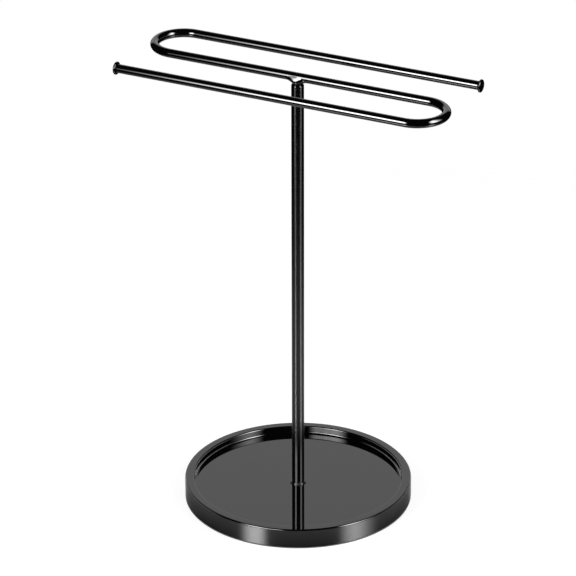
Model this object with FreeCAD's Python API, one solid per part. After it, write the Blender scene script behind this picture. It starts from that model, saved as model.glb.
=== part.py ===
# Countertop towel stand: an S-bent towel bar on a slim post over a weighted round tray.
# Millimetres, +Z up, X along the bar's runs, origin on the counter under the post.
import FreeCAD, Part
import math
import os

# Towel bar, bent from one rod in a level plane
bar_diameter = 6.35
bar_span = 247.4             # over the outsides of the two bends
run_spacing = 40.7           # centre to centre of neighbouring runs
bar_height = 328.8           # counter to the rod's centre line
end_setback = 1.4            # button face, back from the outside of the bend beside it
neck_turning = 0.15          # taken off the rod's diameter for the stub brazed under the middle run
neck_gap = 1.85              # shoulder of the post to the underside of the rod
neck_fillet = 2.4            # braze blended into the rod, dressed flat at the shoulder
neck_thread_length = 11.0

# End buttons, turned and pressed into the rod's drilled ends
button_diameter = 9.4
button_rim = 1.5             # thickness of the rim
button_crown = 0.7           # how far the outer face domes past the rim
button_chamfer = 0.5
spigot_diameter = 3.0
spigot_length = 6.0

# Post, a drawn steel tube with a plug brazed into each end
post_diameter = 9.0
post_wall = 1.0
post_chamfer = 0.3
shoulder_height = 2.3        # visible head of the top plug
shoulder_round = 1.4
shoulder_seam = 0.25         # break on the lower edge of the head, which shows as the seam
plug_length = 15.0           # inside the tube
plug_chamfer = 0.5

# Foot ring under the post
ring_diameter = 11.7
ring_thickness = 0.9
ring_chamfer = 0.3

# Base tray, drawn from sheet
base_diameter = 165.0
tray_height = 14.1           # lower edge of the wall to the rim
tray_depth = 5.5             # rim down to the tray floor
rim_width = 6.8
sheet = 0.8
floor_bend = 0.8             # leg of the bend between floor and inner wall, on the side that shows
bend_share = 2 - math.sqrt(2)  # of the sheet: what a bend's outer leg gains on its inner one

# Ballast and pad under the tray
pad_thickness = 2.0
pad_reveal = 0.8             # how far the pad lifts the tray's wall off the counter
pad_inset = 2.5              # pad edge, in from the ballast's edge
pad_hole_diameter = 27.0
ballast_gap = 0.6            # ballast edge to the inside of the wall
ballast_chamfer = 1.0
ballast_web = 2.5            # iron left above the screw's pocket
pocket_diameter = 18.0

# Screw and washers under the post
screw_diameter = 5.0
screw_engagement = 9.0       # thread inside the foot plug
screw_head_diameter = 9.5
screw_head_height = 3.0
screw_head_chamfer = 1.4
recess_width = 1.1           # one arm of the cross recess
recess_length = 5.0
recess_depth = 1.7
flat_washer_diameter = 15.0
flat_washer_thickness = 1.2
spring_washer_diameter = 9.2
spring_washer_thickness = 1.2
spring_washer_gap = 0.8

# Clearances
thread_clearance = 0.05      # radial, at the threads, which are modelled plain
press_clearance = 0.01       # radial, at the brazed and pressed fits
hole_clearance = 0.25        # radial, where the screw passes through
spigot_relief = 0.5          # depth left under each pressed spigot
cut_overrun = 1.0
same_point = 1e-6

# Places that follow from the sizes
bar_radius = bar_diameter / 2
bend_radius = run_spacing / 2
bend_x = bar_span / 2 - bar_radius - bend_radius
button_thickness = button_rim + button_crown
rod_end_x = bar_span / 2 - end_setback - button_thickness
wall_foot_z = pad_reveal
rim_z = wall_foot_z + tray_height
floor_z = rim_z - tray_depth
floor_under_z = floor_z - sheet
post_foot_z = floor_z + ring_thickness
neck_radius = (bar_diameter - neck_turning) / 2
shoulder_z = bar_height - bar_radius - neck_gap
post_top_z = shoulder_z - shoulder_height
post_bore = post_diameter - 2 * post_wall
washer_z = floor_under_z - ballast_web
ballast_radius = base_diameter / 2 - sheet - ballast_gap
screw_hole = screw_diameter + 2 * hole_clearance
tapped_hole = screw_diameter + 2 * thread_clearance

up = FreeCAD.Vector(0, 0, 1)
along = FreeCAD.Vector(1, 0, 0)


def outline(corners, rounded):
    # Closed outline in the XZ plane; each corner is (x, z, size), rounded or chamfered by its size,
    # and a size of 0 stays sharp.
    points = [FreeCAD.Vector(x, 0, z) for x, z, size in corners]
    edges = []
    last = None
    first = None
    for k, (x, z, size) in enumerate(corners):
        here = points[k]
        back = (points[k - 1] - here).normalize()
        ahead = (points[(k + 1) % len(points)] - here).normalize()
        half = back.getAngle(ahead) / 2
        run = size / math.tan(half)
        enter = here + back * run
        leave = here + ahead * run
        if last is not None and last.distanceToPoint(enter) > same_point:
            edges.append(Part.makeLine(last, enter))
        if size > 0 and rounded:
            inward = (back + ahead).normalize()
            middle = here + inward * (size / math.sin(half) - size)
            edges.append(Part.Arc(enter, middle, leave).toShape())
        elif size > 0:
            edges.append(Part.makeLine(enter, leave))
        first = first or enter
        last = leave
    edges.append(Part.makeLine(last, first))
    return Part.Wire(edges)


def turned(corners, rounded=False):
    # Solid of revolution about Z from an outline of (radius, z, size) corners.
    return Part.Face(outline(corners, rounded)).revolve(FreeCAD.Vector(), up, 360)


def disc_ring(bore, diameter, low, high, chamfer):
    return turned([
        (bore / 2, low, 0),
        (diameter / 2, low, chamfer),
        (diameter / 2, high, chamfer),
        (bore / 2, high, 0),
    ])


def bar_path():
    # Front run, right bend, middle run, left bend, back run, as one line of straights and half circles.
    z = bar_height
    front_left = FreeCAD.Vector(-rod_end_x, -run_spacing, z)
    front_right = FreeCAD.Vector(bend_x, -run_spacing, z)
    right_tip = FreeCAD.Vector(bend_x + bend_radius, -bend_radius, z)
    middle_right = FreeCAD.Vector(bend_x, 0, z)
    middle_left = FreeCAD.Vector(-bend_x, 0, z)
    left_tip = FreeCAD.Vector(-bend_x - bend_radius, bend_radius, z)
    back_left = FreeCAD.Vector(-bend_x, run_spacing, z)
    back_right = FreeCAD.Vector(rod_end_x, run_spacing, z)
    return Part.Wire([
        Part.makeLine(front_left, front_right),
        Part.Arc(front_right, right_tip, middle_right).toShape(),
        Part.makeLine(middle_right, middle_left),
        Part.Arc(middle_left, left_tip, back_left).toShape(),
        Part.makeLine(back_left, back_right),
    ])


def towel_bar():
    path = bar_path()
    start = path.Vertexes[0].Point
    section = Part.Wire(Part.makeCircle(bar_radius, start, along))
    rod = path.makePipeShell([section], True, True)
    neck_foot = FreeCAD.Vector(0, 0, shoulder_z - neck_fillet)
    neck = Part.makeCylinder(neck_radius, bar_height - neck_foot.z, neck_foot, up)
    joined = rod.fuse(neck).removeSplitter()
    seam = [edge for edge in joined.Edges if is_braze_seam(edge)]
    joined = joined.makeFillet(neck_fillet, seam)
    waste_foot = neck_foot - up * neck_fillet
    joined = joined.cut(Part.makeCylinder(bar_diameter, 2 * neck_fillet, waste_foot, up))
    thread_foot = FreeCAD.Vector(0, 0, shoulder_z - neck_thread_length)
    thread = Part.makeCylinder(screw_diameter / 2, neck_thread_length, thread_foot, up)
    joined = joined.fuse(thread)
    for side in (-1, 1):
        mouth = FreeCAD.Vector(side * rod_end_x, side * run_spacing, bar_height)
        depth = spigot_length + spigot_relief
        bore = Part.makeCylinder(spigot_diameter / 2 + press_clearance, depth, mouth, along * -side)
        joined = joined.cut(bore)
    return joined


def is_braze_seam(edge):
    # The curve where the neck runs into the underside of the middle run.
    box = edge.BoundBox
    beside_post = max(abs(box.XMin), abs(box.XMax), abs(box.YMin), abs(box.YMax)) < bar_diameter
    return beside_post and box.ZMin > shoulder_z and box.ZMax < bar_height


def end_button(side):
    # Spigot, flat back, chamfered rim and a domed face, turned about Z and then laid along the rod.
    radius = button_diameter / 2
    face_radius = radius - button_chamfer
    side_line = Part.makePolygon([
        xz(0, button_thickness),
        xz(0, -spigot_length),
        xz(spigot_diameter / 2, -spigot_length),
        xz(spigot_diameter / 2, 0),
        xz(face_radius, 0),
        xz(radius, button_chamfer),
        xz(radius, button_rim - button_chamfer),
        xz(face_radius, button_rim),
    ])
    edges = side_line.Edges + [dome(face_radius, button_rim, button_crown)]
    button = Part.Face(Part.Wire(edges)).revolve(FreeCAD.Vector(), up, 360)
    seat = FreeCAD.Vector(side * rod_end_x, side * run_spacing, bar_height)
    button.Placement = FreeCAD.Placement(seat, FreeCAD.Rotation(up, along * side))
    return button


def xz(x, z):
    return FreeCAD.Vector(x, 0, z)


def dome(radius, foot, rise):
    # Arc of a shallow sphere, from the rim at radius and foot to the axis at foot + rise.
    sphere = (radius ** 2 + rise ** 2) / (2 * rise)
    half = math.asin(radius / sphere) / 2
    middle = xz(sphere * math.sin(half), foot + rise - sphere * (1 - math.cos(half)))
    return Part.Arc(xz(radius, foot), middle, xz(0, foot + rise)).toShape()


def post_tube():
    return turned([
        (post_bore / 2, post_foot_z, 0),
        (post_diameter / 2, post_foot_z, 0),
        (post_diameter / 2, post_top_z, post_chamfer),
        (post_bore / 2, post_top_z, 0),
    ])


def post_top_plug():
    spigot = post_bore / 2 - press_clearance
    return turned([
        (tapped_hole / 2, post_top_z - plug_length, 0),
        (spigot - plug_chamfer, post_top_z - plug_length, 0),
        (spigot, post_top_z - plug_length + plug_chamfer, 0),
        (spigot, post_top_z, 0),
        (post_diameter / 2 - shoulder_seam, post_top_z, 0),
        (post_diameter / 2, post_top_z + shoulder_seam, 0),
        (post_diameter / 2, shoulder_z, shoulder_round),
        (tapped_hole / 2, shoulder_z, 0),
    ], rounded=True)


def post_foot_plug():
    spigot = post_bore / 2 - press_clearance
    top = post_foot_z + plug_length
    return turned([
        (tapped_hole / 2, post_foot_z, 0),
        (spigot, post_foot_z, 0),
        (spigot, top - plug_chamfer, 0),
        (spigot - plug_chamfer, top, 0),
        (tapped_hole / 2, top, 0),
    ])


def base_tray():
    # Floor, inner wall, flat rim and outer wall as one bent sheet, with the rim hollow from below.
    # The rim's bends are sharp inside, and every bend keeps the sheet's thickness.
    outer = base_diameter / 2
    inner = outer - rim_width
    rim_bend = bend_share * sheet
    return turned([
        (screw_hole / 2, floor_z, 0),
        (inner, floor_z, floor_bend),
        (inner, rim_z, rim_bend),
        (outer, rim_z, rim_bend),
        (outer, wall_foot_z, 0),
        (outer - sheet, wall_foot_z, 0),
        (outer - sheet, rim_z - sheet, 0),
        (inner + sheet, rim_z - sheet, 0),
        (inner + sheet, floor_under_z, floor_bend + bend_share * sheet),
        (screw_hole / 2, floor_under_z, 0),
    ])


def ballast_plate():
    return turned([
        (screw_hole / 2, washer_z, 0),
        (pocket_diameter / 2, washer_z, 0),
        (pocket_diameter / 2, pad_thickness, 0),
        (ballast_radius - ballast_chamfer, pad_thickness, 0),
        (ballast_radius, pad_thickness + ballast_chamfer, 0),
        (ballast_radius, floor_under_z - ballast_chamfer, 0),
        (ballast_radius - ballast_chamfer, floor_under_z, 0),
        (screw_hole / 2, floor_under_z, 0),
    ])


def spring_washer():
    high = washer_z - flat_washer_thickness
    low = high - spring_washer_thickness
    ring = disc_ring(screw_hole, spring_washer_diameter, low, high, 0)
    slit_length = spring_washer_diameter / 2 + cut_overrun
    corner = FreeCAD.Vector(0, -spring_washer_gap / 2, low - cut_overrun)
    height = spring_washer_thickness + 2 * cut_overrun
    return ring.cut(Part.makeBox(slit_length, spring_washer_gap, height, corner))


def base_screw():
    seat = washer_z - flat_washer_thickness - spring_washer_thickness
    head_foot = seat - screw_head_height
    tip = post_foot_z + screw_engagement
    screw = turned([
        (0, head_foot, 0),
        (screw_head_diameter / 2, head_foot, screw_head_chamfer),
        (screw_head_diameter / 2, seat, 0),
        (screw_diameter / 2, seat, 0),
        (screw_diameter / 2, tip - plug_chamfer, 0),
        (screw_diameter / 2 - plug_chamfer, tip, 0),
        (0, tip, 0),
    ])
    for length, width in ((recess_length, recess_width), (recess_width, recess_length)):
        corner = FreeCAD.Vector(-length / 2, -width / 2, head_foot - cut_overrun)
        screw = screw.cut(Part.makeBox(length, width, recess_depth + cut_overrun, corner))
    return screw


parts = {
    "towel_bar": towel_bar(),
    "front_end_button": end_button(-1),
    "back_end_button": end_button(1),
    "post_top_plug": post_top_plug(),
    "post_tube": post_tube(),
    "post_foot_plug": post_foot_plug(),
    "foot_ring": disc_ring(screw_hole, ring_diameter, floor_z, post_foot_z, ring_chamfer),
    "base_tray": base_tray(),
    "ballast_plate": ballast_plate(),
    "flat_washer": disc_ring(screw_hole, flat_washer_diameter, washer_z - flat_washer_thickness, washer_z, 0),
    "spring_washer": spring_washer(),
    "base_screw": base_screw(),
    "base_pad": disc_ring(pad_hole_diameter, 2 * (ballast_radius - pad_inset), 0, pad_thickness, 0),
}

os.makedirs("parts", exist_ok=True)
for name, shape in parts.items():
    shape.exportStep(os.path.join("parts", name + ".step"))
    print(name, "valid" if shape.isValid() else "NOT valid", len(shape.Solids), "solid", round(shape.Volume, 2))
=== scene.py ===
# Countertop towel stand in gloss black enamel: an S-bent bar on a slim post over a round tray.
import math

import bpy
import numpy as np
from mathutils import Matrix, Quaternion, Vector


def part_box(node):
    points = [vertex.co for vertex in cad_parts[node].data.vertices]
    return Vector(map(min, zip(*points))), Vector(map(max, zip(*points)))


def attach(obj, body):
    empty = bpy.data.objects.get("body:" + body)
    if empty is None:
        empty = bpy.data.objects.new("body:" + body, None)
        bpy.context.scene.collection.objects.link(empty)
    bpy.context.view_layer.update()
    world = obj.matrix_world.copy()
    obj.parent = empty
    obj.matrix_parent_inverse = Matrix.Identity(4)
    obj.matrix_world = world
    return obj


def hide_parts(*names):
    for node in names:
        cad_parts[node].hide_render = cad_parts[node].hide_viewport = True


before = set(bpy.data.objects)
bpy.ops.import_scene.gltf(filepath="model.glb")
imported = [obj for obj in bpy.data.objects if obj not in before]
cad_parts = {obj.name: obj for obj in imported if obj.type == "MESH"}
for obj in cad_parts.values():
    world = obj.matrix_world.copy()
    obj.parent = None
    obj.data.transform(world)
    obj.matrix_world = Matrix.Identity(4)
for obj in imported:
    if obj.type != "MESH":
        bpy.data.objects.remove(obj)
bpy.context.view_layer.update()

mm = 0.001
print("frame loaded with", len(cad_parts), "nodes")


# Surfaces

def span(node):
    # Lowest and highest corner of a CAD node, as arrays in metres.
    low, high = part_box(node)
    return np.array(low), np.array(high)


def unit(vector):
    return vector / np.linalg.norm(vector)


outlines = {
    "steps": 8,                # facets in a round
    "support": 0.12 * mm,      # support points this far from a round
    "fineSupport": 0.05 * mm,  # and nearer on small pieces
}


def roundedOutline(corners, steps=outlines["steps"], support=outlines["support"]):
    # Each corner (radius, height, round) gives way to an arc tangent to both its sides. A support point
    # before and after the arc keeps the flats flat under smooth shading. A round of 0 is a plain point.
    places = np.array([corner[:2] for corner in corners])
    share = np.linspace(0, 1, steps + 1)[:, None]
    outline = []
    for k, corner in enumerate(corners):
        here = places[k]
        size = corner[2]
        if size == 0:
            outline.append(here[None, :])
            continue
        back = unit(places[k - 1] - here)
        ahead = unit(places[(k + 1) % len(places)] - here)
        half = math.acos(np.clip(back @ ahead, -1, 1)) / 2
        run = size / math.tan(half)
        centre = here + unit(back + ahead) * size / math.sin(half)
        enter = here + back * run - centre
        leave = here + ahead * run - centre
        sweep = math.pi - 2 * half
        arc = (np.sin((1 - share) * sweep) * enter + np.sin(share * sweep) * leave) / math.sin(sweep)
        outline.append((here + back * (run + support))[None, :])
        outline.append(centre + arc)
        outline.append((here + ahead * (run + support))[None, :])
    return np.concatenate(outline)


def turned(outline, columns):
    # Surface of revolution about Z: (r cos a, r sin a, h) for each outline point and each angle a.
    angle = np.linspace(0, 2 * math.pi, columns, endpoint=False)[None, :]
    radius = outline[:, :1]
    height = outline[:, 1:] + 0 * angle
    return np.stack([radius * np.cos(angle), radius * np.sin(angle), height], axis=-1)


def gridFaces(rows, columns, closed):
    # Quads between neighbouring rows. Every row is a ring; closed joins the last row to the first.
    row = np.arange(rows if closed else rows - 1)[:, None]
    column = np.arange(columns)[None, :]
    nextRow = (row + 1) % rows
    nextColumn = (column + 1) % columns
    corners = (
        row * columns + column,
        row * columns + nextColumn,
        nextRow * columns + nextColumn,
        nextRow * columns + column,
    )
    return np.stack(np.broadcast_arrays(*corners), axis=-1).reshape(-1, 4).tolist()


def fanFaces(ring, pole, flip):
    # Triangles from a pole to each step of a ring of point numbers.
    ahead = np.roll(ring, -1)
    first, second = (ahead, ring) if flip else (ring, ahead)
    return np.stack([np.full(len(ring), pole), first, second], axis=-1).tolist()


def makePiece(name, grid, node, material, poles=None):
    # Puts a grid of points (rows, columns, 3) into a mesh. Without poles the rows close on themselves;
    # with poles, two points close the first and the last row.
    rows, columns = grid.shape[:2]
    points = grid.reshape(-1, 3)
    faces = gridFaces(rows, columns, poles is None)
    if poles is not None:
        ring = np.arange(columns)
        faces += fanFaces(ring, len(points), True)
        faces += fanFaces(ring + (rows - 1) * columns, len(points) + 1, False)
        points = np.concatenate([points, np.array(poles)])
    mesh = bpy.data.meshes.new(name)
    mesh.from_pydata(points.tolist(), [], faces)
    mesh.polygons.foreach_set("use_smooth", np.ones(len(mesh.polygons), dtype=bool))
    mesh.update()
    piece = bpy.data.objects.new(name, mesh)
    bpy.context.scene.collection.objects.link(piece)
    mesh.materials.append(material)
    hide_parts(node)
    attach(piece, "root")
    return piece


# Finishes

def linear(hexText):
    # sRGB hex to linear RGBA.
    srgb = np.array([int(hexText[k:k + 2], 16) for k in (1, 3, 5)]) / 255
    value = np.where(srgb <= 0.04045, srgb / 12.92, ((srgb + 0.055) / 1.055) ** 2.4)
    return (*value.tolist(), 1.0)


def addNode(tree, kind, settings=None, links=None):
    # Settings are input sockets by name or number, or else the node's own attributes.
    node = tree.nodes.new(kind)
    for key, value in (settings or {}).items():
        if isinstance(key, int) or key in node.inputs:
            node.inputs[key].default_value = value
        else:
            setattr(node, key, value)
    for key, source in (links or {}).items():
        tree.links.new(source, node.inputs[key])
    return node


def newMaterial(name):
    material = bpy.data.materials.new(name)
    material.use_nodes = True
    material.node_tree.nodes.clear()
    return material, material.node_tree


enamel = {
    "deep": "#020202",
    "worn": "#040404",
    "gloss": (0.03, 0.05),     # roughness, clean to handled
    "tubeGloss": (0.14, 0.15), # the same on the post, whose ground tube smears mirror images along it
    "smear": 1.0,
    "smearTurn": 0.25,         # of a full turn, from round the post to along it
    "ior": 1.52,               # baked alkyd enamel
    "peel": 2.2 * mm,          # spacing of the orange peel
    "peelHeight": 0.0003 * mm,
    "haze": 22 * mm,           # size of the patches where cloths have dulled it
    "hazeRange": (0.35, 0.7),  # noise that counts as clean and as handled
}


def glossEnamel(name, dulling, smear):
    # Baked black enamel on steel: a deep black that shows only as what it mirrors, with the faint
    # orange peel of sprayed paint and slightly duller patches. Smear draws mirror images out along Z.
    material, tree = newMaterial(name)
    place = addNode(tree, "ShaderNodeTexCoord").outputs["Object"]
    haze = addNode(tree, "ShaderNodeTexNoise", {"Scale": 1 / enamel["haze"], "Detail": 4.0},
                   {"Vector": place})
    first, last = enamel["hazeRange"]
    clean, handled = dulling
    gloss = addNode(tree, "ShaderNodeMapRange", {"From Min": first, "From Max": last, "To Min": clean,
                    "To Max": handled}, {"Value": haze.outputs["Fac"]})
    colour = addNode(tree, "ShaderNodeMix", {"data_type": "RGBA", 6: linear(enamel["deep"]),
                     7: linear(enamel["worn"])}, {0: haze.outputs["Fac"]})
    peel = addNode(tree, "ShaderNodeTexNoise", {"Scale": 1 / enamel["peel"], "Detail": 1.0},
                   {"Vector": place})
    bump = addNode(tree, "ShaderNodeBump", {"Strength": 1.0, "Distance": enamel["peelHeight"]},
                   {"Height": peel.outputs["Fac"]})
    around = addNode(tree, "ShaderNodeTangent", {"direction_type": "RADIAL", "axis": "Z"})
    shader = addNode(tree, "ShaderNodeBsdfPrincipled", {"IOR": enamel["ior"], "Anisotropic": smear,
                     "Anisotropic Rotation": enamel["smearTurn"]},
                     {"Base Color": colour.outputs[2], "Roughness": gloss.outputs["Result"],
                      "Normal": bump.outputs["Normal"], "Tangent": around.outputs[0]})
    addNode(tree, "ShaderNodeOutputMaterial", None, {"Surface": shader.outputs["BSDF"]})
    return material


zinc = {
    "bright": "#c3c8cc",
    "dull": "#a9adb0",
    "gloss": (0.24, 0.4),      # roughness, clear to cloudy
    "spangle": 1.6 * mm,       # size of the clouds
    "cloudRange": (0.3, 0.7),  # noise that counts as clear and as cloudy
    "turning": 0.35 * mm,      # spacing of turning marks, coarser than the real 0.1 mm so that they show
    "turningDepth": 0.004 * mm,
    "waveRate": 20,            # radians that the wave texture turns in one unit
}


def zincPlate():
    # Zinc-plated steel: a cool grey metal, cloudy from the plating bath, over fine turning marks.
    material, tree = newMaterial("zinc_plated_steel")
    place = addNode(tree, "ShaderNodeTexCoord").outputs["Object"]
    cloud = addNode(tree, "ShaderNodeTexNoise", {"Scale": 1 / zinc["spangle"], "Detail": 3.0},
                    {"Vector": place})
    colour = addNode(tree, "ShaderNodeMix", {"data_type": "RGBA", 6: linear(zinc["bright"]),
                     7: linear(zinc["dull"])}, {0: cloud.outputs["Fac"]})
    first, last = zinc["cloudRange"]
    clear, cloudy = zinc["gloss"]
    gloss = addNode(tree, "ShaderNodeMapRange", {"From Min": first, "From Max": last, "To Min": clear,
                    "To Max": cloudy}, {"Value": cloud.outputs["Fac"]})
    turnRate = 2 * math.pi / zinc["turning"]
    rings = addNode(tree, "ShaderNodeTexWave", {"wave_type": "RINGS", "rings_direction": "Z",
                    "Scale": turnRate / zinc["waveRate"], "Distortion": 0.4}, {"Vector": place})
    bump = addNode(tree, "ShaderNodeBump", {"Distance": zinc["turningDepth"]},
                   {"Height": rings.outputs["Fac"]})
    shader = addNode(tree, "ShaderNodeBsdfPrincipled", {"Metallic": 1.0},
                     {"Base Color": colour.outputs[2], "Roughness": gloss.outputs["Result"],
                      "Normal": bump.outputs["Normal"]})
    addNode(tree, "ShaderNodeOutputMaterial", None, {"Surface": shader.outputs["BSDF"]})
    return material


iron = {
    "skin": "#2e2d2c",
    "rust": "#4a3a30",
    "metal": 0.6,              # bare iron shows through the skin by this share
    "gloss": (0.55, 0.8),      # roughness, low to high grains
    "grain": 0.9 * mm,         # sand-cast skin
    "grainHeight": 0.06 * mm,
    "grit": 0.7,               # strength of the grain
    "bloom": 14 * mm,          # patches of flash rust
    "bloomRange": (0.5, 0.75), # noise that counts as skin and as rust
}


def castIron():
    # Sand-cast iron: matt dark grey with a gritty skin and a little brown bloom.
    material, tree = newMaterial("sand_cast_iron")
    place = addNode(tree, "ShaderNodeTexCoord").outputs["Object"]
    bloom = addNode(tree, "ShaderNodeTexNoise", {"Scale": 1 / iron["bloom"], "Detail": 6.0},
                    {"Vector": place})
    first, last = iron["bloomRange"]
    amount = addNode(tree, "ShaderNodeMapRange", {"From Min": first, "From Max": last},
                     {"Value": bloom.outputs["Fac"]})
    colour = addNode(tree, "ShaderNodeMix", {"data_type": "RGBA", 6: linear(iron["skin"]),
                     7: linear(iron["rust"])}, {0: amount.outputs["Result"]})
    grain = addNode(tree, "ShaderNodeTexNoise", {"Scale": 1 / iron["grain"], "Detail": 3.0},
                    {"Vector": place})
    bump = addNode(tree, "ShaderNodeBump", {"Strength": iron["grit"], "Distance": iron["grainHeight"]},
                   {"Height": grain.outputs["Fac"]})
    low, high = iron["gloss"]
    gloss = addNode(tree, "ShaderNodeMapRange", {"To Min": low, "To Max": high},
                    {"Value": grain.outputs["Fac"]})
    shader = addNode(tree, "ShaderNodeBsdfPrincipled", {"Metallic": iron["metal"]},
                     {"Base Color": colour.outputs[2], "Roughness": gloss.outputs["Result"],
                      "Normal": bump.outputs["Normal"]})
    addNode(tree, "ShaderNodeOutputMaterial", None, {"Surface": shader.outputs["BSDF"]})
    return material


foam = {
    "skin": "#1d1d1e",
    # painted shade in the pits of the cells
    "paintedPoreShade": "#111112",
    "pores": 0.8 * mm,         # drawn coarser than the real 0.3 mm cells so that they show
    "poreDepth": 0.08 * mm,
    "pitting": 0.6,            # strength of the pores
    "gloss": 0.85,             # roughness
    "ior": 1.48,               # ethylene-vinyl acetate
}


def evaFoam():
    # Closed-cell EVA foam: dull soft black, pitted all over with fine cells, whose pits are painted darker
    # as painted shade.
    material, tree = newMaterial("closed_cell_eva_foam")
    place = addNode(tree, "ShaderNodeTexCoord").outputs["Object"]
    cells = addNode(tree, "ShaderNodeTexVoronoi", {"Scale": 1 / foam["pores"]}, {"Vector": place})
    # Painted shade: the colour darkens towards the middle of each cell, where the bump sinks the pit.
    colour = addNode(tree, "ShaderNodeMix", {"data_type": "RGBA", 6: linear(foam["paintedPoreShade"]),
                     7: linear(foam["skin"])}, {0: cells.outputs["Distance"]})
    bump = addNode(tree, "ShaderNodeBump", {"Strength": foam["pitting"], "Distance": foam["poreDepth"]},
                   {"Height": cells.outputs["Distance"]})
    shader = addNode(tree, "ShaderNodeBsdfPrincipled", {"Roughness": foam["gloss"], "IOR": foam["ior"]},
                     {"Base Color": colour.outputs[2], "Normal": bump.outputs["Normal"]})
    addNode(tree, "ShaderNodeOutputMaterial", None, {"Surface": shader.outputs["BSDF"]})
    return material


enamelFinish = glossEnamel("gloss_black_baked_enamel", enamel["gloss"], 0.0)
tubeFinish = glossEnamel("gloss_black_baked_enamel_on_ground_tube", enamel["tubeGloss"], enamel["smear"])
zincFinish = zincPlate()
ironFinish = castIron()
foamFinish = evaFoam()
print("finishes ready")


# Towel bar

button = {
    "diameter": 9.4 * mm,
    "edge": 1.55 * mm,         # height of the rim's corner over the flat back
    "face": 2.2 * mm,          # height of the domed face's middle
    "rimRound": 0.95 * mm,
    "backRound": 0.72 * mm,
    "spigotDiameter": 3.0 * mm,
    "spigotLength": 6.0 * mm,
    "spigotRound": 0.3 * mm,
    "domeEdge": 0.78,          # where the rim's round gives way to the dome, as a share of the radius
    "poleShare": 0.02,         # the innermost ring round a pole
    "domeRings": 14,
    "columns": 96,
}

bar = {
    "diameter": 6.35 * mm,
    "endBreak": 0.3 * mm,      # chamfer on the sawn ends
    "endSupport": 0.9 * mm,    # ring behind it that keeps the rod straight under smooth shading
    "boreRelief": 0.5 * mm,    # drilled past the button's spigot
    "bendSteps": 96,
    "columns": 96,
}

barLow, barHigh = span("towel_bar")
barRadius = bar["diameter"] / 2
barZ = barHigh[2] - barRadius
runSpacing = barHigh[1] - barRadius
bendRadius = runSpacing / 2
bendX = barHigh[0] - barRadius - bendRadius
rodEndX = span("back_end_button")[0][0] + button["spigotLength"]


def barLine(travel):
    # Place and heading after a distance along the S: front run, right half circle, middle run, left half
    # circle, back run. A straight is start + heading * distance, a bend is centre + radius at an angle.
    outerRun = rodEndX + bendX
    middleRun = 2 * bendX
    bend = math.pi * bendRadius
    marks = np.cumsum([outerRun, bend, middleRun, bend])
    onFront = travel < marks[0]
    onRight = (travel >= marks[0]) & (travel < marks[1])
    onMiddle = (travel >= marks[1]) & (travel < marks[2])
    onLeft = (travel >= marks[2]) & (travel < marks[3])
    rightTurn = (travel - marks[0]) / bendRadius
    leftTurn = (travel - marks[2]) / bendRadius
    where = [onFront, onRight, onMiddle, onLeft]
    x = np.select(where, [travel - rodEndX, bendX + bendRadius * np.sin(rightTurn),
                          bendX - (travel - marks[1]), -bendX - bendRadius * np.sin(leftTurn)],
                  travel - marks[3] - bendX)
    y = np.select(where, [-runSpacing + 0 * travel, -bendRadius - bendRadius * np.cos(rightTurn),
                          0 * travel, bendRadius - bendRadius * np.cos(leftTurn)], runSpacing)
    heading = np.select(where, [0 * travel, rightTurn, math.pi + 0 * travel, math.pi - leftTurn], 0)
    return x, y, heading, marks, marks[3] + outerRun


def towelBar():
    # A circle carried along the S: place + r (cos a * sideways + sin a * up). The radius follows a list
    # of stations, so the drilled bores and the sawn ends are part of the same sheet.
    marks, length = barLine(np.zeros(1))[3:]
    bore = button["spigotDiameter"] / 2
    depth = button["spigotLength"] + bar["boreRelief"]
    nick = bar["endBreak"]
    endTravel = np.array([depth, 0, 0, nick, bar["endSupport"]])
    endRadius = np.array([bore, bore, barRadius - nick, barRadius, barRadius])
    rightBend = np.linspace(marks[0], marks[1], bar["bendSteps"] + 1)
    leftBend = np.linspace(marks[2], marks[3], bar["bendSteps"] + 1)
    travel = np.concatenate([endTravel, rightBend, leftBend, length - endTravel[::-1]])
    bendRows = np.full(len(rightBend) + len(leftBend), barRadius)
    radius = np.concatenate([endRadius, bendRows, endRadius[::-1]])
    x, y, heading = barLine(travel)[:3]
    angle = np.linspace(0, 2 * math.pi, bar["columns"], endpoint=False)[None, :]
    sideways = radius[:, None] * np.cos(angle)
    grid = np.stack([x[:, None] - np.sin(heading)[:, None] * sideways,
                     y[:, None] + np.cos(heading)[:, None] * sideways,
                     barZ + radius[:, None] * np.sin(angle)], axis=-1)
    poles = [(x[0], y[0], barZ), (x[-1], y[-1], barZ)]
    return makePiece("towel_bar_rod", grid, "towel_bar", enamelFinish, poles)


neck = {
    "reach": 8.5 * mm,         # how far the braze runs out along the bar
    "wrap": math.radians(120), # and up the bar's sides
    "square": (4.5, 2.2),      # power of the oval it covers, left and right: 2 is round, more is squarer
    "waist": 3.7 * mm,         # radius where it stands on the post's shoulder
    "foot": 0.6 * mm,          # straight part over the shoulder
    "bed": 0.2 * mm,           # waist sunk below the shoulder's top
    "sink": 0.02 * mm,         # edge bedded in the bar
    "spread": 6.0 * mm,        # pull of the blend along the bar
    "hug": 1.5,                # and round it, as a share of the arc
    "lift": 3.0 * mm,          # pull of the blend up and out from the waist
    "swellUp": 3.0 * mm,       # more of it at the front and back, where the blend stands proud of the bar
    "swellOut": 2.0 * mm,
    "lean": math.radians(36),  # the braze is fullest this far left of the front
    "rows": 36,
    "columns": 128,
    "threadDiameter": 5.0 * mm,
    "threadPitch": 0.8 * mm,
    "threadDepth": 0.4 * mm,
    "threadRows": 96,
}


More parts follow.
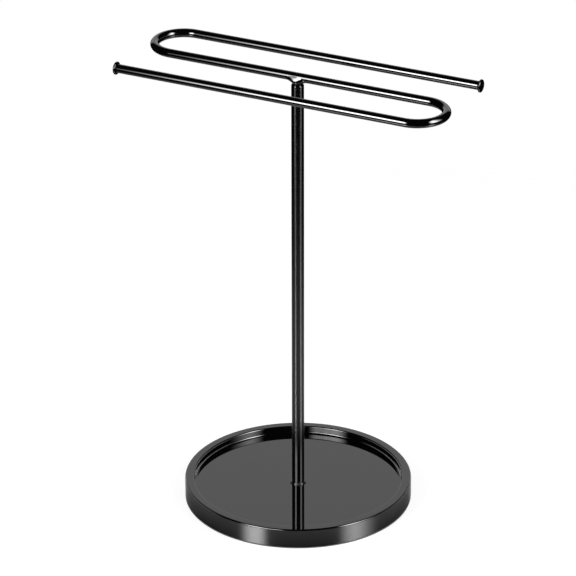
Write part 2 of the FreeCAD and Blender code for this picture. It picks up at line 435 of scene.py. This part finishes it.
def threadGrid(diameter, pitch, depth, low, high, rows, columns):
    # Screw thread: the radius is a triangle wave of height over pitch less angle over a full turn, and
    # it fades out at both ends.
    angle = np.linspace(0, 2 * math.pi, columns, endpoint=False)[None, :]
    height = np.linspace(low, high, rows)[:, None]
    wave = np.abs(2 * ((height / pitch - angle / (2 * math.pi)) % 1) - 1)
    fade = np.clip(np.minimum(height - low, high - height) / pitch, 0, 1)
    radius = diameter / 2 - depth + depth * (1 - wave) * fade
    return np.stack([radius * np.cos(angle), radius * np.sin(angle), height + 0 * angle], axis=-1)


def neckBraze():
    # Trumpet between a circle on the post's shoulder and a squared oval round the bar: a cubic (Hermite)
    # curve for each angle a, leaving the circle outwards and up and landing flat on the bar. The oval's
    # two coordinates are the cosine and sine of a over the power mean of both.
    shoulderZ = span("post_top_plug")[1][2]
    waistZ = shoulderZ - neck["bed"]
    a = np.linspace(0, 2 * math.pi, neck["columns"], endpoint=False)
    power = np.where(np.cos(a) < 0, *neck["square"])
    mean = (np.abs(np.cos(a)) ** power + np.abs(np.sin(a)) ** power) ** (1 / power)
    along, about = np.cos(a) / mean, np.sin(a) / mean
    wrap = neck["wrap"] * about
    skin = barRadius - neck["sink"]
    onBar = np.stack([neck["reach"] * along, skin * np.sin(wrap), barZ - skin * np.cos(wrap)], axis=-1)
    waist = np.stack([neck["waist"] * np.cos(a), neck["waist"] * np.sin(a), waistZ + 0 * a], axis=-1)
    onShoulder = waist + np.array([0, 0, neck["bed"] + neck["foot"]])
    pull = neck["hug"] * barRadius * wrap
    landing = np.stack([neck["spread"] * along, pull * np.cos(wrap), pull * np.sin(wrap)], axis=-1)
    full = np.sin(a + neck["lean"]) ** 2
    outwards = neck["lift"] + neck["swellOut"] * full
    upwards = neck["lift"] + neck["swellUp"] * full
    leaving = np.stack([outwards * np.cos(a), outwards * np.sin(a), upwards], axis=-1)
    t = np.linspace(0, 1, neck["rows"])[:, None, None]
    blend = ((2 * t ** 3 - 3 * t ** 2 + 1) * onShoulder + (t ** 3 - 2 * t ** 2 + t) * leaving
             + (3 * t ** 2 - 2 * t ** 3) * onBar + (t ** 3 - t ** 2) * landing)
    thread = threadGrid(neck["threadDiameter"], neck["threadPitch"], neck["threadDepth"], barLow[2],
                        waistZ, neck["threadRows"], neck["columns"])
    grid = np.concatenate([thread, waist[None], blend])
    poles = [(0, 0, barLow[2]), (0, 0, barZ)]
    return makePiece("neck_braze", grid, "towel_bar", enamelFinish, poles)


def endButton(node, side):
    # Outline of spigot, flat back, rounded rim and a domed face, turned and laid along the bar's end.
    # The dome is an arc of a sphere: height = face - (R - sqrt(R * R - r * r)).
    radius = button["diameter"] / 2
    rise = button["face"] - button["edge"]
    sphere = (radius ** 2 + rise ** 2) / (2 * rise)
    domeRadius = radius * np.linspace(button["domeEdge"], button["poleShare"], button["domeRings"])
    domeHeight = button["face"] - sphere + np.sqrt(sphere ** 2 - domeRadius ** 2)
    spigot = button["spigotDiameter"] / 2
    corners = [
        (button["poleShare"] * spigot, -button["spigotLength"], 0),
        (spigot, -button["spigotLength"], button["spigotRound"]),
        (spigot, 0, 0),
        (radius, 0, button["backRound"]),
        (radius, button["edge"], button["rimRound"]),
        *[(r, h, 0) for r, h in zip(domeRadius, domeHeight)],
    ]
    grid = turned(roundedOutline(corners, support=outlines["fineSupport"]), button["columns"])
    seat = np.array([side * rodEndX, side * runSpacing, barZ])
    laid = np.stack([side * grid[..., 2], side * grid[..., 0], grid[..., 1]], axis=-1) + seat
    along = np.array([side, 0, 0])
    poles = [seat - along * button["spigotLength"], seat + along * button["face"]]
    return makePiece(node + "_turned", laid, node, enamelFinish, poles)


towelBar()
neckBraze()
endButton("front_end_button", -1)
endButton("back_end_button", 1)
print("towel bar, neck and end buttons ready")


# Post

screw = {
    # With its washers. The pieces that it passes through take their holes from here.
    "hole": 5.5 * mm,
    "diameter": 5.0 * mm,
    "pitch": 0.8 * mm,
    "threadDepth": 0.4 * mm,
    "headDiameter": 9.5 * mm,
    "headHeight": 3.0 * mm,
    "headRound": 1.8 * mm,
    "seatRound": 0.2 * mm,
    "faceStart": 0.05 * mm,    # innermost ring of the head's face
    "faceShare": 0.6,          # outermost one, as a share of the head's radius
    "faceRings": 36,
    "recessLength": 5.2 * mm,
    "recessWidth": 1.1 * mm,
    "recessDepth": 1.7 * mm,
    "recessSlope": 0.5 * mm,   # the recess walls lean in over this width
    "washerRound": 0.12 * mm,
    "rolledRound": 0.24 * mm,
    "springGap": 0.8 * mm,
    "columns": 160,
    "threadRows": 110,
}

post = {
    "wall": 1.0 * mm,
    "topRound": 0.03 * mm,     # hairline seam under the shoulder
    "edgeRound": 0.1 * mm,
    "leadRound": 0.4 * mm,     # the plugs' leading edges
    "shoulderRound": 1.4 * mm,
    "tapDiameter": 5.1 * mm,
    "plugGap": 0.01 * mm,
    "ringRound": 0.35 * mm,
    "columns": 160,
}


def postPieces():
    # Tube, shoulder plug, foot plug and foot ring: four outlines turned about the post's axis.
    low, high = span("post_tube")
    radius = high[0]
    bore = radius - post["wall"]
    edge = post["edgeRound"]
    lead = post["leadRound"]
    tube = [
        (bore, low[2], edge),
        (radius, low[2], edge),
        (radius, high[2], post["topRound"]),
        (bore, high[2], edge),
    ]
    makePiece("post_tube_drawn", turned(roundedOutline(tube), post["columns"]), "post_tube",
              tubeFinish)
    tap = post["tapDiameter"] / 2
    spigot = bore - post["plugGap"]
    plugLow, plugHigh = span("post_top_plug")
    top = [
        (tap, plugLow[2], edge),
        (spigot, plugLow[2], lead),
        (spigot, high[2], 0),
        (radius, high[2], post["topRound"]),
        (radius, plugHigh[2], post["shoulderRound"]),
        (tap, plugHigh[2], edge),
    ]
    makePiece("post_shoulder_turned", turned(roundedOutline(top), post["columns"]), "post_top_plug",
              tubeFinish)
    footLow, footHigh = span("post_foot_plug")
    foot = [
        (tap, footLow[2], edge),
        (spigot, footLow[2], edge),
        (spigot, footHigh[2], lead),
        (tap, footHigh[2], edge),
    ]
    makePiece("post_foot_plug_turned", turned(roundedOutline(foot), post["columns"]), "post_foot_plug",
              zincFinish)
    ringLow, ringHigh = span("foot_ring")
    hole = screw["hole"] / 2
    ring = [
        (hole, ringLow[2], edge),
        (ringHigh[0], ringLow[2], edge),
        (ringHigh[0], ringHigh[2], post["ringRound"]),
        (hole, ringHigh[2], edge),
    ]
    makePiece("foot_ring_turned", turned(roundedOutline(ring), post["columns"]), "foot_ring",
              enamelFinish)


postPieces()
print("post ready")


# Base

tray = {
    "rim": 6.8 * mm,
    "sheet": 0.8 * mm,
    "depth": 5.5 * mm,         # rim down to the tray floor
    "rimRound": 1.05 * mm,
    "floorRound": 1.4 * mm,    # between floor and inner wall, which draws a light line
    "footRound": 0.2 * mm,
    "innerRound": 0.2 * mm,
    "roundSteps": 10,
    "columns": 448,
}


def baseTray():
    # Bent sheet: floor, inner wall, flat rim and outer wall as one turned outline of even thickness.
    low, high = span("base_tray")
    outer = high[0]
    inner = outer - tray["rim"]
    sheet = tray["sheet"]
    floorZ = high[2] - tray["depth"]
    hole = screw["hole"] / 2
    outline = [
        (hole, floorZ - sheet, tray["innerRound"]),
        (inner + sheet, floorZ - sheet, tray["floorRound"] + sheet),
        (inner + sheet, high[2] - sheet, tray["innerRound"]),
        (outer - sheet, high[2] - sheet, tray["innerRound"]),
        (outer - sheet, low[2], tray["footRound"]),
        (outer, low[2], tray["footRound"]),
        (outer, high[2], tray["rimRound"]),
        (inner, high[2], tray["rimRound"]),
        (inner, floorZ, tray["floorRound"]),
        (hole, floorZ, tray["innerRound"]),
    ]
    grid = turned(roundedOutline(outline, steps=tray["roundSteps"]), tray["columns"])
    return makePiece("base_tray_drawn", grid, "base_tray", enamelFinish)


ballast = {
    "pocket": 18.0 * mm,
    "web": 2.5 * mm,
    "edgeRound": 0.9 * mm,
    "holeRound": 0.27 * mm,
    "pocketRound": 0.45 * mm,
    "columns": 320,
}


def ballastPlate():
    # Cast disc with softened edges and a pocket underneath for the screw's head.
    low, high = span("ballast_plate")
    hole = screw["hole"] / 2
    pocket = ballast["pocket"] / 2
    soft = ballast["edgeRound"]
    pocketZ = high[2] - ballast["web"]
    outline = [
        (hole, pocketZ, ballast["holeRound"]),
        (pocket, pocketZ, ballast["pocketRound"]),
        (pocket, low[2], soft),
        (high[0], low[2], soft),
        (high[0], high[2], soft),
        (hole, high[2], ballast["holeRound"]),
    ]
    return makePiece("ballast_plate_cast", turned(roundedOutline(outline), ballast["columns"]),
                     "ballast_plate", ironFinish)


pad = {
    "hole": 27.0 * mm,
    "edgeRound": 0.5 * mm,     # die-cut edge, pressed soft
    "gluedRound": 0.2 * mm,    # and the edge at the ballast
    "columns": 320,
}


def basePad():
    # Die-cut foam ring with soft edges.
    low, high = span("base_pad")
    hole = pad["hole"] / 2
    soft = pad["edgeRound"]
    glued = pad["gluedRound"]
    outline = [
        (hole, low[2], soft),
        (high[0], low[2], soft),
        (high[0], high[2], glued),
        (hole, high[2], glued),
    ]
    piece = makePiece("base_pad_foam", turned(roundedOutline(outline), pad["columns"]), "base_pad",
                      foamFinish)
    return piece


def flatWasher():
    # Punched disc, with the edge that the punch rolled over on its lower side.
    low, high = span("flat_washer")
    hole = screw["hole"] / 2
    soft = screw["washerRound"]
    rolled = screw["rolledRound"]
    outline = [
        (hole, low[2], soft),
        (high[0], low[2], rolled),
        (high[0], high[2], soft),
        (hole, high[2], soft),
    ]
    grid = turned(roundedOutline(outline, support=outlines["fineSupport"]), screw["columns"])
    return makePiece("flat_washer_pressed", grid, "flat_washer", zincFinish)


def springWasher():
    # A rounded oblong carried round an arc that stops short of a full circle by the slit.
    low, high = span("spring_washer")
    hole = screw["hole"] / 2
    soft = screw["washerRound"]
    oblong = [
        (hole, low[2], soft),
        (high[0], low[2], soft),
        (high[0], high[2], soft),
        (hole, high[2], soft),
    ]
    section = roundedOutline(oblong, support=outlines["fineSupport"])[::-1]
    slit = math.asin(screw["springGap"] / 2 / high[0])
    angle = np.linspace(slit, 2 * math.pi - slit, screw["columns"])[:, None]
    radius = section[None, :, 0]
    height = section[None, :, 1] + 0 * angle
    grid = np.stack([radius * np.cos(angle), radius * np.sin(angle), height], axis=-1)
    poles = [grid[0].mean(axis=0), grid[-1].mean(axis=0)]
    return makePiece("spring_washer_split", grid, "spring_washer", zincFinish, poles)


def baseScrew():
    # Pan head with a cross recess, then a threaded shank. The recess lowers the head's face by its depth
    # times a smooth step of the distance inside the nearer arm of the cross.
    low, high = span("base_screw")
    seatZ = low[2] + screw["headHeight"]
    radius = screw["headDiameter"] / 2
    faceRadius = np.linspace(screw["faceStart"], screw["faceShare"] * radius, screw["faceRings"])
    outline = [
        *[(r, low[2], 0) for r in faceRadius],
        (radius, low[2], screw["headRound"]),
        (radius, seatZ, screw["seatRound"]),
        (screw["diameter"] / 2, seatZ, 0),
    ]
    head = turned(roundedOutline(outline), screw["columns"])
    x, y = np.abs(head[..., 0]), np.abs(head[..., 1])
    arm, reach = screw["recessWidth"] / 2, screw["recessLength"] / 2
    outside = np.minimum(np.maximum(x - arm, y - reach), np.maximum(x - reach, y - arm))
    step = np.clip(-outside / screw["recessSlope"], 0, 1)
    onFace = head[..., 2] < (low[2] + seatZ) / 2
    head[..., 2] += np.where(onFace, screw["recessDepth"] * step * step * (3 - 2 * step), 0)
    shank = threadGrid(screw["diameter"], screw["pitch"], screw["threadDepth"], seatZ, high[2],
                       screw["threadRows"], screw["columns"])
    poles = [(0, 0, low[2] + screw["recessDepth"]), (0, 0, high[2])]
    return makePiece("base_screw_pan_head", np.concatenate([head, shank]), "base_screw",
                     zincFinish, poles)


baseTray()
ballastPlate()
basePad()
flatWasher()
springWasher()
baseScrew()
print("base ready")


# Studio

stage = {
    "floorRadius": 600 * mm,
    "floorRings": (0.02, 0.5, 1.0),  # shares of the radius
    "floorColumns": 128,
    "floorColour": "#dcdcdc",
    "floorShade": 0.45,        # share of the floor's own shading that the camera sees, for a light shadow
    "floorGlow": 0.78,         # white under it
    "floorIor": 2.4,           # strong gloss, which mirrors see
    "hazeIor": 1.4,            # and the weaker haze under it
    "floorGloss": (0.18, 0.5), # roughness of the gloss and of the haze
    "paintedContactShadow": (0.35, 26 * mm), # painted contact shadow, for mirrors: the colour is this dim at the base and full this far out
    "paintedPoolRange": (230 * mm, 480 * mm),  # painted pool of light, for mirrors: the colour darkens between these distances from the middle
    "holeEdge": 1.5 * mm,      # the floor ends this far inside the pad's edge
    "ambient": 0.45,           # grey fill from all round
    "lightShare": 0.46,        # of the panels' brightness, for matt surfaces: a white card is then about 1
}

postOnly = ("post_tube_drawn", "post_shoulder_turned")
trayOnly = ("base_tray_drawn", "foot_ring_turned")
ringOnly = ("foot_ring_turned",)

lamps = {
    # Upright panels: left and right end on the plan, as seen from behind the panel, low and high edge, the
    # share of the panel over which each edge fades (left, right, low, high), brightness where a white card
    # has 1, and the pieces that it lights, where not all. The key and side panels light everything. The
    # skirts carry them on below, dimly, where the post mirrors what lies past the floor's edge. The others
    # draw the highlights on the tray's inner wall, on its edges and on the foot ring.
    "keyPanel": {"left": (-0.551, -0.791), "right": (-0.048, -1.272), "low": 0.32, "high": 1.0,
                 "fade": (0.42, 0.45, 0.25, 0.3), "radiance": 40.0},
    "sidePanel": {"left": (1.611, -0.736), "right": (0.717, 0.327), "low": 0.28, "high": 1.6,
                  "fade": (0.646, 0.446, 0.16, 0.27), "radiance": 27.0},
    "keySkirt": {"left": (-0.602, -0.799), "right": (-0.259, -0.966), "low": -0.4, "high": 0.32,
                 "fade": (0.4, 0.4, 0.05, 0.1), "radiance": 3.0, "lights": postOnly},
    "sideSkirt": {"left": (0.982, -0.191), "right": (0.982, 0.191), "low": -0.4, "high": 0.28,
                  "fade": (0.4, 0.4, 0.05, 0.1), "radiance": 3.0, "lights": postOnly},
    "frontPanel": {"left": (-0.270, -1.272), "right": (0.336, -1.256), "low": 0.4, "high": 0.85,
                   "fade": (0.3, 0.4, 0.2, 0.2), "radiance": 30.0, "lights": trayOnly},
    "ringPanel": {"left": (-0.440, -0.545), "right": (0.700, 0.013), "low": 0.1, "high": 1.2,
                  "fade": (0.1, 0.1, 0.1, 0.2), "radiance": 7.0, "lights": ringOnly},
    "rightBackStrip": {"left": (1.193, 0.128), "right": (0.040, 1.199), "low": 0.06, "high": 0.32,
                       "fade": (0.3, 0.1, 0.2, 0.2), "radiance": 3.2, "lights": trayOnly},
    "leftBackStrip": {"left": (-0.972, 0.704), "right": (-0.832, -0.865), "low": 0.06, "high": 0.32,
                      "fade": (0.1, 0.3, 0.2, 0.2), "radiance": 3.2, "lights": trayOnly},
}


def bearing(azimuth, elevation):
    # Unit vector: azimuth 0 is the front, 90 the right.
    a, e = math.radians(azimuth), math.radians(elevation)
    return Vector((math.sin(a) * math.cos(e), -math.cos(a) * math.cos(e), math.sin(e)))


def addLamp(name, forGloss, left, right, low, high, fade, radiance, lights=()):
    # Soft box whose brightness falls off to its edges by a smooth step. Power = radiance * pi * area.
    # Gloss sees it at its full brightness, and its dimmer twin lights the rest.
    level = radiance if forGloss else radiance * stage["lightShare"]
    start, end = Vector((*left, low)), Vector((*right, low))
    across = (end - start).normalized()
    up = Vector((0, 0, 1))
    light = bpy.data.lights.new(name, "AREA")
    light.shape = "RECTANGLE"
    light.size = (end - start).length
    light.size_y = high - low
    light.energy = level * math.pi * light.size * light.size_y
    light.use_nodes = True
    tree = light.node_tree
    tree.nodes.clear()
    place = addNode(tree, "ShaderNodeNewGeometry").outputs["Parametric"]
    parts = addNode(tree, "ShaderNodeSeparateXYZ", None, {0: place})
    strength = None
    for axis, rim, width in (("X", 0, fade[0]), ("X", 1, fade[1]), ("Y", 0, fade[2]), ("Y", 1, fade[3])):
        edge = addNode(tree, "ShaderNodeMapRange", {"interpolation_type": "SMOOTHSTEP", "From Min": rim,
                       "From Max": abs(rim - width)}, {"Value": parts.outputs[axis]}).outputs["Result"]
        if strength is None:
            strength = edge
        else:
            strength = addNode(tree, "ShaderNodeMath", {"operation": "MULTIPLY"},
                               {0: strength, 1: edge}).outputs[0]
    glow = addNode(tree, "ShaderNodeEmission", None, {"Strength": strength})
    addNode(tree, "ShaderNodeOutputLight", None, {"Surface": glow.outputs[0]})
    lamp = bpy.data.objects.new(name, light)
    lamp.matrix_world = Matrix((across, up, across.cross(up))).transposed().to_4x4()
    lamp.location = (start + end) / 2 + up * (high - low) / 2
    lamp.visible_camera = False
    lamp.visible_glossy = forGloss
    lamp.visible_diffuse = not forGloss
    if lights:
        lit = bpy.data.collections.new(name + "Lit")
        for piece in lights:
            lit.objects.link(bpy.data.objects[piece])
        lamp.light_linking.receiver_collection = lit
    bpy.context.scene.collection.objects.link(lamp)


def floorFinish():
    # White glazed floor. Mirrors see its gloss, and its colour with painted light on it: a painted pool of
    # light that darkens away from the stand, and a painted contact shadow round the base. The camera sees
    # it near white with the stand's shadow on it, though the white stops at the base's edge, a painted
    # shade under the base, and sees through it from below. It is open under the pad, so that the fill
    # reaches the underside.
    material, tree = newMaterial("white_glazed_floor")
    path = addNode(tree, "ShaderNodeLightPath")
    place = addNode(tree, "ShaderNodeTexCoord").outputs["Object"]
    away = addNode(tree, "ShaderNodeVectorMath", {"operation": "LENGTH"}, {0: place}).outputs["Value"]
    # Painted pool of light, for mirrors: the colour is full near the middle and fades to black further
    # out.
    near, far = stage["paintedPoolRange"]
    paintedLight = addNode(tree, "ShaderNodeMapRange", {"interpolation_type": "SMOOTHSTEP", "From Min": far,
                   "From Max": near}, {"Value": away}).outputs["Result"]
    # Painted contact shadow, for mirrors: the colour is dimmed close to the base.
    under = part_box("base_tray")[1][0]
    paintedShadowLevel, reach = stage["paintedContactShadow"]
    paintedContactShadow = addNode(tree, "ShaderNodeMapRange", {"From Min": under, "From Max": under + reach,
                      "To Min": paintedShadowLevel}, {"Value": away}).outputs["Result"]
    paintedLight = addNode(tree, "ShaderNodeMath", {"operation": "MULTIPLY"}, {0: paintedLight, 1: paintedContactShadow}).outputs[0]
    colour = linear(stage["floorColour"])
    paintedLightColour = addNode(tree, "ShaderNodeMix", {"data_type": "RGBA", 6: (0, 0, 0, 1), 7: colour},
                   {0: paintedLight}).outputs[2]
    clean, hazy = stage["floorGloss"]
    glaze = addNode(tree, "ShaderNodeBsdfPrincipled", {"Roughness": hazy, "IOR": stage["hazeIor"],
                    "Coat Weight": 1.0, "Coat Roughness": clean, "Coat IOR": stage["floorIor"]},
                    {"Base Color": paintedLightColour})
    shadeColour = tuple(c * stage["floorShade"] for c in colour)
    shade = addNode(tree, "ShaderNodeBsdfDiffuse", {"Color": shadeColour})
    # The camera's white glow stops at the base's edge: painted shade under the base.
    glowOutsidePaintedShade = addNode(tree, "ShaderNodeMath", {"operation": "GREATER_THAN", 1: under},
                          {0: away}).outputs[0]
    white = addNode(tree, "ShaderNodeMath", {"operation": "MULTIPLY", 1: stage["floorGlow"]},
                    {0: glowOutsidePaintedShade}).outputs[0]
    glow = addNode(tree, "ShaderNodeEmission", None, {"Strength": white})
    seen = addNode(tree, "ShaderNodeAddShader", None, {0: shade.outputs[0], 1: glow.outputs[0]})
    clear = addNode(tree, "ShaderNodeBsdfTransparent")
    below = addNode(tree, "ShaderNodeNewGeometry").outputs["Backfacing"]
    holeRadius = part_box("base_pad")[1][0] - stage["holeEdge"]
    hole = addNode(tree, "ShaderNodeMath", {"operation": "LESS_THAN", 1: holeRadius}, {0: away}).outputs[0]
    side = addNode(tree, "ShaderNodeMath", {"operation": "MAXIMUM"}, {0: below, 1: hole}).outputs[0]
    above = addNode(tree, "ShaderNodeMixShader", None, {0: path.outputs["Is Camera Ray"],
                    1: glaze.outputs[0], 2: seen.outputs[0]})
    both = addNode(tree, "ShaderNodeMixShader", None, {0: side, 1: above.outputs[0], 2: clear.outputs[0]})
    addNode(tree, "ShaderNodeOutputMaterial", None, {"Surface": both.outputs[0]})
    return material


def addFloor():
    # Flat disc: rings of (r cos a, r sin a, 0) from the middle out.
    shares = np.array(stage["floorRings"])
    columns = stage["floorColumns"]
    grid = turned(np.stack([shares * stage["floorRadius"], 0 * shares], axis=-1), columns)
    points = np.concatenate([grid.reshape(-1, 3), np.zeros((1, 3))])
    faces = gridFaces(len(shares), columns, False) + fanFaces(np.arange(columns), len(points) - 1, True)
    mesh = bpy.data.meshes.new("floor")
    mesh.from_pydata(points.tolist(), [], [face[::-1] for face in faces])
    mesh.materials.append(floorFinish())
    floor = bpy.data.objects.new("floor", mesh)
    bpy.context.scene.collection.objects.link(floor)


cards = {
    # White cards in a dark room, which only mirrors see: one behind the stand, and one below the floor,
    # which shows only in the underside. Of each edge, where the card starts and where it is full.
    "level": 0.95,
    "room": 0.004,
    "across": (0.78, 0.87),    # share of a direction that points straight back
    "top": (0.66, 0.52),       # rise of a direction
    "foot": (-0.06, 0.0),
    "below": (-0.65, -0.8),
}


def addWorld(backAzimuth):
    # White for the camera, a plain grey fill for the light, and for mirrors the cards. Each edge is a
    # smooth step: the card behind is across * top * foot, and the brighter of both cards counts.
    world = bpy.data.worlds.new("studio")
    bpy.context.scene.world = world
    world.use_nodes = True
    tree = world.node_tree
    tree.nodes.clear()
    path = addNode(tree, "ShaderNodeLightPath")
    direction = addNode(tree, "ShaderNodeTexCoord").outputs["Generated"]
    back = bearing(backAzimuth, 0)
    towards = addNode(tree, "ShaderNodeVectorMath", {"operation": "DOT_PRODUCT", 1: back}, {0: direction})
    rise = addNode(tree, "ShaderNodeSeparateXYZ", None, {0: direction}).outputs["Z"]
    measures = {"across": towards.outputs["Value"], "top": rise, "foot": rise, "below": rise}
    edges = {}
    for edge, measure in measures.items():
        start, full = cards[edge]
        edges[edge] = addNode(tree, "ShaderNodeMapRange", {"interpolation_type": "SMOOTHSTEP",
                              "From Min": start, "From Max": full}, {"Value": measure}).outputs["Result"]
    upright = addNode(tree, "ShaderNodeMath", {"operation": "MULTIPLY"},
                      {0: edges["top"], 1: edges["foot"]}).outputs[0]
    behind = addNode(tree, "ShaderNodeMath", {"operation": "MULTIPLY"},
                     {0: edges["across"], 1: upright}).outputs[0]
    bright = addNode(tree, "ShaderNodeMath", {"operation": "MAXIMUM"},
                     {0: behind, 1: edges["below"]}).outputs[0]
    mirrored = addNode(tree, "ShaderNodeMapRange", {"To Min": cards["room"], "To Max": cards["level"]},
                       {"Value": bright}).outputs["Result"]
    mirrorRay = addNode(tree, "ShaderNodeMath", {"operation": "MAXIMUM"},
                        {0: path.outputs["Is Glossy Ray"],
                         1: path.outputs["Is Transmission Ray"]}).outputs[0]
    indirect = addNode(tree, "ShaderNodeMix", {2: stage["ambient"]},
                       {0: mirrorRay, 3: mirrored}).outputs[0]
    strength = addNode(tree, "ShaderNodeMix", {3: 1.0},
                       {0: path.outputs["Is Camera Ray"], 2: indirect}).outputs[0]
    background = addNode(tree, "ShaderNodeBackground", {"Color": (1, 1, 1, 1)}, {"Strength": strength})
    addNode(tree, "ShaderNodeOutputWorld", None, {"Surface": background.outputs[0]})


camera = {
    "azimuth": 26.10,
    "elevation": 25.96,
    "distance": 2.713,
    "lens": 237.2,
    "sensor": 36.0,
    "clipEnd": 20.0,
    "target": (0, 0, 150.8 * mm),
    "aimRight": -7.06 * mm,    # the picture's middle, off the target
    "aimUp": 13.86 * mm,
    "roll": -0.15,             # degrees
}


def addCamera():
    back = bearing(camera["azimuth"], camera["elevation"])
    rightWay = Vector((0, 0, 1)).cross(back).normalized()
    upWay = back.cross(rightWay)
    target = Vector(camera["target"])
    aim = target + rightWay * camera["aimRight"] + upWay * camera["aimUp"]
    data = bpy.data.cameras.new("camera")
    data.lens = camera["lens"]
    data.sensor_width = camera["sensor"]
    data.clip_end = camera["clipEnd"]
    eye = bpy.data.objects.new("camera", data)
    eye.location = target + back * camera["distance"]
    eye.rotation_mode = "QUATERNION"
    roll = Quaternion((0, 0, 1), math.radians(camera["roll"]))
    eye.rotation_quaternion = (aim - eye.location).to_track_quat("-Z", "Y") @ roll
    bpy.context.scene.collection.objects.link(eye)
    bpy.context.scene.camera = eye


for lampName, lampFacts in lamps.items():
    addLamp(lampName + "Gloss", True, **lampFacts)
    addLamp(lampName + "Light", False, **lampFacts)
addFloor()
addWorld(camera["azimuth"] + 180)
addCamera()
bpy.context.scene.view_settings.view_transform = "Standard"
print("studio ready")
